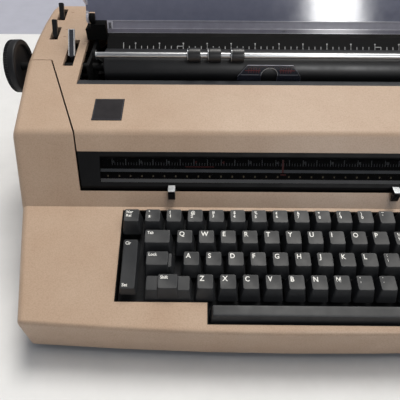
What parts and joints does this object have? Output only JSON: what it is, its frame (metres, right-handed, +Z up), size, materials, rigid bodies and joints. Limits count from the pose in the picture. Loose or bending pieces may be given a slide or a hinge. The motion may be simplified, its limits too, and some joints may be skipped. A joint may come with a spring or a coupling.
{
  "type": "electric typewriter",
  "caption": "Wide-carriage electric office typewriter with a tan case, black keys, a platen under an open smoked hood and a hinged top cover.",
  "frame": {"origin": "on the table under the middle of the machine", "axes": "+X to the right along the keyboard, +Y to the rear, +Z up"},
  "size_m": [0.558, 0.39, 0.2565],
  "materials": {
    "case_paint": "fine pebbled satin tan",
    "cover_paint": "fine pebbled satin tan",
    "pan_steel": "dark paint",
    "foot_rubber": "matte black",
    "black_plastic": "fine grained black",
    "gloss_black": "smooth black",
    "key_plastic": "satin charcoal",
    "frame_steel": "machined",
    "shaft_steel": "polished",
    "dark_steel": "dark grey paint",
    "platen_rubber": "ground black rubber",
    "smoked_pane": "dark tint",
    "hood_pane": "smoke tint",
    "clear_plastic": "clear",
    "motor_iron": "painted",
    "ball_chrome": "plated"
  },
  "bodies": {
    "case": {"lower_case": "case_paint", "base_pan": "pan_steel", "rubber_feet": "foot_rubber", "key_well": "black_plastic", "keyboard_frame": "dark_steel", "power_frame": "frame_steel", "guide_rail": "frame_steel", "paper_deflector": "dark_steel", "paper_scale": "black_plastic", "margin_rack": "frame_steel", "margin_scale": "black_plastic", "motor": "motor_iron", "cover_hinge_posts": "frame_steel", "power_inlet": "black_plastic"},
    "cover": {"top_cover": "cover_paint", "window_bezel": "black_plastic", "margin_window": "smoked_pane", "opening_trim": "black_plastic", "name_plate": "black_plastic", "hood_brackets": "black_plastic", "cover_hinge_lugs": "frame_steel"},
    "hood": {"sound_hood": "hood_pane", "guard_bar": "clear_plastic"},
    "platen_set": {"platen": "platen_rubber", "platen_shaft": "shaft_steel", "knob_left": "black_plastic", "knob_right": "black_plastic"},
    "feed_set": {"feed_rollers": "black_plastic"},
    "bail": {"paper_bail": "dark_steel"},
    "roller_left": {"bail_roller_left": "platen_rubber"},
    "roller_middle": {"bail_roller_middle": "platen_rubber"},
    "roller_right": {"bail_roller_right": "platen_rubber"},
    "release_lever": {"paper_release_lever": "dark_steel"},
    "space_lever": {"line_space_lever": "black_plastic"},
    "copy_lever": {"copy_control_lever": "black_plastic"},
    "left_stop": {"margin_stop_left": "black_plastic"},
    "right_stop": {"margin_stop_right": "black_plastic"},
    "carrier_set": {"carrier": "dark_steel", "ribbon_cartridge": "black_plastic", "card_holder": "clear_plastic"},
    "ball": {"type_ball": "ball_chrome"},
    "drive_shaft": {"print_shaft": "shaft_steel"},
    "number_keys_body": {"number_keys": "key_plastic"},
    "upper_keys_body": {"upper_keys": "key_plastic"},
    "home_keys_body": {"home_keys": "key_plastic"},
    "lower_keys_body": {"lower_keys": "key_plastic"},
    "margin_release_key_body": {"margin_release_key": "key_plastic"},
    "clear_set": {"clear_set_rocker": "key_plastic"},
    "tab_key_body": {"tab_key": "key_plastic"},
    "lock_key_body": {"lock_key": "key_plastic"},
    "shift_key_left_body": {"shift_key_left": "key_plastic"},
    "shift_key_right_body": {"shift_key_right": "key_plastic"},
    "space_bar_body": {"space_bar": "key_plastic"},
    "backspace_key_body": {"backspace_key": "key_plastic"},
    "index_key_body": {"index_key": "key_plastic"},
    "return_key_body": {"return_key": "key_plastic"},
    "correct_key_body": {"correct_key": "key_plastic"},
    "power_switch": {"power_rocker": "key_plastic"}
  },
  "joints": [
    {"name": "cover_hinge", "type": "hinge", "parent": "case", "child": "cover", "pos_m": [0, 0.176, 0.141], "axis": [-1, 0, 0], "range_deg": [0, 50]},
    {"name": "hood_hinge", "type": "hinge", "parent": "cover", "child": "hood", "pos_m": [0, 0.093, 0.178], "axis": [1, 0, 0], "range_deg": [0, 108]},
    {"name": "platen_turn", "type": "hinge", "parent": "case", "child": "platen_set", "pos_m": [0, 0.0525, 0.145], "axis": [1, 0, 0], "continuous": true},
    {"name": "feed_turn", "type": "hinge", "parent": "case", "child": "feed_set", "pos_m": [0, 0.0525, 0.1197], "axis": [1, 0, 0], "continuous": true},
    {"name": "bail_swing", "type": "hinge", "parent": "case", "child": "bail", "pos_m": [0, 0.076, 0.138], "axis": [1, 0, 0], "range_deg": [-32, 0]},
    {"name": "roller_left_turn", "type": "hinge", "parent": "bail", "child": "roller_left", "pos_m": [-0.09, 0.0384, 0.166], "axis": [1, 0, 0], "continuous": true},
    {"name": "roller_middle_turn", "type": "hinge", "parent": "bail", "child": "roller_middle", "pos_m": [-0.07, 0.0384, 0.166], "axis": [1, 0, 0], "continuous": true},
    {"name": "roller_right_turn", "type": "hinge", "parent": "bail", "child": "roller_right", "pos_m": [-0.0473, 0.0384, 0.166], "axis": [1, 0, 0], "continuous": true},
    {"name": "release_swing", "type": "hinge", "parent": "case", "child": "release_lever", "pos_m": [-0.2198, 0.068, 0.125], "axis": [1, 0, 0], "range_deg": [0, 7]},
    {"name": "space_swing", "type": "hinge", "parent": "case", "child": "space_lever", "pos_m": [-0.244, 0.0955, 0.12], "axis": [1, 0, 0], "range_deg": [-8, 6]},
    {"name": "copy_swing", "type": "hinge", "parent": "case", "child": "copy_lever", "pos_m": [-0.2436, 0.1285, 0.118], "axis": [1, 0, 0], "range_deg": [-8, 1]},
    {"name": "left_stop_slide", "type": "slide", "parent": "case", "child": "left_stop", "axis": [1, 0, 0], "range_m": [-0.06, 0.08]},
    {"name": "right_stop_slide", "type": "slide", "parent": "case", "child": "right_stop", "axis": [1, 0, 0], "range_m": [-0.08, 0.07]},
    {"name": "carrier_slide", "type": "slide", "parent": "case", "child": "carrier_set", "axis": [1, 0, 0], "range_m": [-0.136, 0.164]},
    {"name": "ball_turn", "type": "hinge", "parent": "carrier_set", "child": "ball", "pos_m": [-0.0143, 0.0095, 0.122], "axis": [0, 0, 1], "continuous": true},
    {"name": "drive_turn", "type": "hinge", "parent": "case", "child": "drive_shaft", "pos_m": [0, 0.012, 0.105], "axis": [1, 0, 0], "continuous": true},
    {"name": "number_keys_press", "type": "slide", "parent": "case", "child": "number_keys_body", "axis": [0, 0, -1], "range_m": [0, 0.004], "stiffness_N_per_m": 1800, "springref_m": -0.002},
    {"name": "upper_keys_press", "type": "slide", "parent": "case", "child": "upper_keys_body", "axis": [0, 0, -1], "range_m": [0, 0.004], "stiffness_N_per_m": 1800, "springref_m": -0.002},
    {"name": "home_keys_press", "type": "slide", "parent": "case", "child": "home_keys_body", "axis": [0, 0, -1], "range_m": [0, 0.004], "stiffness_N_per_m": 1800, "springref_m": -0.002},
    {"name": "lower_keys_press", "type": "slide", "parent": "case", "child": "lower_keys_body", "axis": [0, 0, -1], "range_m": [0, 0.004], "stiffness_N_per_m": 1800, "springref_m": -0.002},
    {"name": "margin_release_key_press", "type": "slide", "parent": "case", "child": "margin_release_key_body", "axis": [0, 0, -1], "range_m": [0, 0.004], "stiffness_N_per_m": 150, "springref_m": -0.002},
    {"name": "clear_set_rock", "type": "hinge", "parent": "case", "child": "clear_set", "pos_m": [-0.1428, -0.14452, 0.06295], "axis": [1, 0, 0], "range_deg": [-5, 5], "stiffness_Nm_per_rad": 0.05},
    {"name": "tab_key_press", "type": "slide", "parent": "case", "child": "tab_key_body", "axis": [0, 0, -1], "range_m": [0, 0.004], "stiffness_N_per_m": 150, "springref_m": -0.002},
    {"name": "lock_key_press", "type": "slide", "parent": "case", "child": "lock_key_body", "axis": [0, 0, -1], "range_m": [0, 0.004], "stiffness_N_per_m": 150, "springref_m": -0.002},
    {"name": "shift_key_left_press", "type": "slide", "parent": "case", "child": "shift_key_left_body", "axis": [0, 0, -1], "range_m": [0, 0.004], "stiffness_N_per_m": 200, "springref_m": -0.002},
    {"name": "shift_key_right_press", "type": "slide", "parent": "case", "child": "shift_key_right_body", "axis": [0, 0, -1], "range_m": [0, 0.004], "stiffness_N_per_m": 200, "springref_m": -0.002},
    {"name": "space_bar_press", "type": "slide", "parent": "case", "child": "space_bar_body", "axis": [0, 0, -1], "range_m": [0, 0.004], "stiffness_N_per_m": 400, "springref_m": -0.003},
    {"name": "backspace_key_press", "type": "slide", "parent": "case", "child": "backspace_key_body", "axis": [0, 0, -1], "range_m": [0, 0.004], "stiffness_N_per_m": 150, "springref_m": -0.002},
    {"name": "index_key_press", "type": "slide", "parent": "case", "child": "index_key_body", "axis": [0, 0, -1], "range_m": [0, 0.004], "stiffness_N_per_m": 150, "springref_m": -0.002},
    {"name": "return_key_press", "type": "slide", "parent": "case", "child": "return_key_body", "axis": [0, 0, -1], "range_m": [0, 0.004], "stiffness_N_per_m": 220, "springref_m": -0.002},
    {"name": "correct_key_press", "type": "slide", "parent": "case", "child": "correct_key_body", "axis": [0, 0, -1], "range_m": [0, 0.004], "stiffness_N_per_m": 150, "springref_m": -0.002},
    {"name": "power_rock", "type": "hinge", "parent": "case", "child": "power_switch", "pos_m": [0.1515, -0.13035, 0.0673], "axis": [1, 0, 0], "range_deg": [0, 7]}
  ],
  "couplings": [
    {"joint": "feed_turn", "follows": "platen_turn", "ratio": -2.5714},
    {"joint": "shift_key_right_press", "follows": "shift_key_left_press", "ratio": 1}
  ]
}
